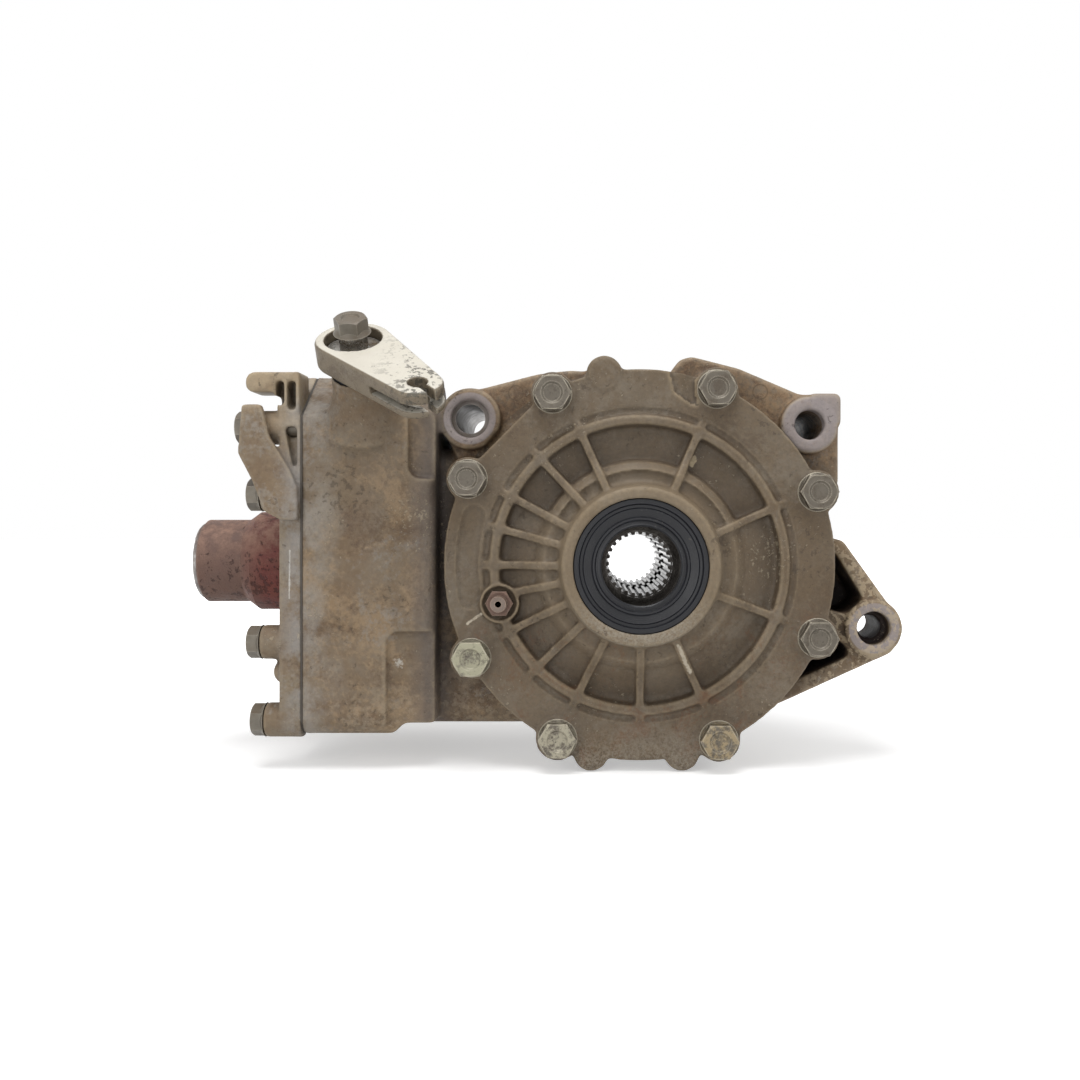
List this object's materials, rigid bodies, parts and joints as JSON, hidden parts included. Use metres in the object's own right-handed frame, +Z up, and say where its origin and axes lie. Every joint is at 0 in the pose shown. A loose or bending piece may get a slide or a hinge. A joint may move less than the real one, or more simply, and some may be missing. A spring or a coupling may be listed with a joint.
{
  "type": "rear differential",
  "caption": "Off-road vehicle rear differential with a ribbed side cover, splined axle sockets, bevel gears and a lever-worked plate brake on the pinion shaft.",
  "frame": {"origin": "the mouth of the left axle socket, on the axle line", "axes": "+Z up, -Y out of the left axle socket along the axle line, -X ahead along the pinion line"},
  "size_m": [0.3132, 0.1893, 0.1901],
  "materials": {
    "cast_aluminium": "raw sand casting under dried dirt",
    "machined_steel": "ground and oiled",
    "plated_bolt": "dull zinc plate with dirt in the corners",
    "gear_steel": "ground teeth, oiled",
    "black_rubber": "semi-gloss seal rubber",
    "rusty_steel": "red-brown rust and old paint",
    "lever_steel": "worn plating with dark specks",
    "gasket": "dark sealant",
    "friction_lining": "pressed lining",
    "bronze": "plain bronze"
  },
  "bodies": {
    "case": {"gear_case": "cast_aluminium", "axle_cover": "cast_aluminium", "axle_cover_bolts": "plated_bolt", "left_axle_seal": "black_rubber", "right_axle_seal": "black_rubber", "breather_fitting": "rusty_steel", "cover_o_ring": "black_rubber", "cover_dowels": "machined_steel", "front_cover": "cast_aluminium", "front_cover_gasket": "gasket", "front_cover_bolts": "plated_bolt", "input_seal": "black_rubber", "mount_sleeve": "machined_steel", "drain_plug": "plated_bolt", "filler_plug": "plated_bolt", "left_bearing_outer_race": "machined_steel", "right_bearing_outer_race": "machined_steel", "pinion_bearing_outer_race": "machined_steel", "front_bearing_outer_race": "machined_steel", "bearing_circlip": "machined_steel", "steel_plates": "machined_steel", "cam_shaft_seal": "black_rubber"},
    "carrier": {"carrier_cap": "gear_steel", "carrier_drum": "gear_steel", "carrier_screws": "machined_steel", "ring_gear": "gear_steel", "ring_gear_bolts": "machined_steel", "left_bearing_inner_race": "machined_steel", "right_bearing_inner_race": "machined_steel", "spider_pins": "machined_steel", "spider_washers": "bronze", "left_thrust_washer": "bronze", "right_thrust_washer": "bronze"},
    "left_gear": {"left_side_gear": "gear_steel"},
    "right_gear": {"right_side_gear": "gear_steel"},
    "upper_spider": {"upper_spider_gear": "gear_steel"},
    "lower_spider": {"lower_spider_gear": "gear_steel"},
    "left_rollers": {"left_bearing_rollers": "machined_steel"},
    "right_rollers": {"right_bearing_rollers": "machined_steel"},
    "pinion_rollers": {"pinion_bearing_rollers": "machined_steel"},
    "front_rollers": {"front_bearing_rollers": "machined_steel"},
    "pinion": {"pinion_shaft": "gear_steel", "pinion_bearing_inner_race": "machined_steel", "front_bearing_inner_race": "machined_steel", "brake_hub": "gear_steel", "friction_plates": "friction_lining", "input_coupling": "rusty_steel", "coupling_lip_ring": "machined_steel", "coupling_nut": "plated_bolt"},
    "lever": {"brake_lever": "lever_steel", "lever_collar": "machined_steel", "lever_bolt": "plated_bolt", "cam_shaft": "machined_steel"},
    "cam": {"cam_plate": "gear_steel"},
    "balls": {"ramp_balls": "machined_steel"},
    "presser": {"pressure_plate": "gear_steel"}
  },
  "joints": [
    {"name": "carrier_spin", "type": "hinge", "parent": "case", "child": "carrier", "pos_m": [0, 0, 0], "axis": [0, 1, 0], "continuous": true},
    {"name": "pinion_spin", "type": "hinge", "parent": "case", "child": "pinion", "pos_m": [0, 0.044, 0], "axis": [1, 0, 0], "continuous": true},
    {"name": "left_rollers_spin", "type": "hinge", "parent": "case", "child": "left_rollers", "pos_m": [0, 0, 0], "axis": [0, 1, 0], "continuous": true},
    {"name": "right_rollers_spin", "type": "hinge", "parent": "case", "child": "right_rollers", "pos_m": [0, 0, 0], "axis": [0, 1, 0], "continuous": true},
    {"name": "pinion_rollers_spin", "type": "hinge", "parent": "case", "child": "pinion_rollers", "pos_m": [0, 0.044, 0], "axis": [1, 0, 0], "continuous": true},
    {"name": "front_rollers_spin", "type": "hinge", "parent": "case", "child": "front_rollers", "pos_m": [0, 0.044, 0], "axis": [1, 0, 0], "continuous": true},
    {"name": "left_gear_spin", "type": "hinge", "parent": "carrier", "child": "left_gear", "pos_m": [0, 0, 0], "axis": [0, 1, 0], "continuous": true},
    {"name": "right_gear_spin", "type": "hinge", "parent": "carrier", "child": "right_gear", "pos_m": [0, 0, 0], "axis": [0, 1, 0], "continuous": true},
    {"name": "upper_spider_spin", "type": "hinge", "parent": "carrier", "child": "upper_spider", "pos_m": [0, 0.0585, 0], "axis": [0, 0, 1], "continuous": true},
    {"name": "lower_spider_spin", "type": "hinge", "parent": "carrier", "child": "lower_spider", "pos_m": [0, 0.0585, 0], "axis": [0, 0, 1], "continuous": true},
    {"name": "lever_swing", "type": "hinge", "parent": "case", "child": "lever", "pos_m": [-0.11695, 0.044, 0], "axis": [0, -0.5736, 0.8192], "range_deg": [-25, 0]},
    {"name": "cam_turn", "type": "hinge", "parent": "case", "child": "cam", "pos_m": [0, 0.044, 0], "axis": [1, 0, 0], "range_deg": [-2.32, 0]},
    {"name": "balls_roll", "type": "hinge", "parent": "case", "child": "balls", "pos_m": [0, 0.044, 0], "axis": [1, 0, 0], "range_deg": [-1.19, 0]},
    {"name": "plate_press", "type": "slide", "parent": "case", "child": "presser", "axis": [1, 0, 0], "range_m": [0, 0.00071]}
  ],
  "couplings": [
    {"joint": "pinion_spin", "follows": "carrier_spin", "ratio": -3.2727},
    {"joint": "left_rollers_spin", "follows": "carrier_spin", "ratio": 0.42167},
    {"joint": "right_rollers_spin", "follows": "carrier_spin", "ratio": 0.42167},
    {"joint": "pinion_rollers_spin", "follows": "carrier_spin", "ratio": -1.3799},
    {"joint": "front_rollers_spin", "follows": "carrier_spin", "ratio": -1.3589},
    {"joint": "right_gear_spin", "follows": "left_gear_spin", "ratio": -1},
    {"joint": "upper_spider_spin", "follows": "left_gear_spin", "ratio": 1.8},
    {"joint": "lower_spider_spin", "follows": "left_gear_spin", "ratio": -1.8},
    {"joint": "cam_turn", "follows": "lever_swing", "ratio": 0.090909},
    {"joint": "balls_roll", "follows": "lever_swing", "ratio": 0.045455},
    {"joint": "plate_press", "follows": "lever_swing", "m_per_rad": -0.0016043}
  ]
}
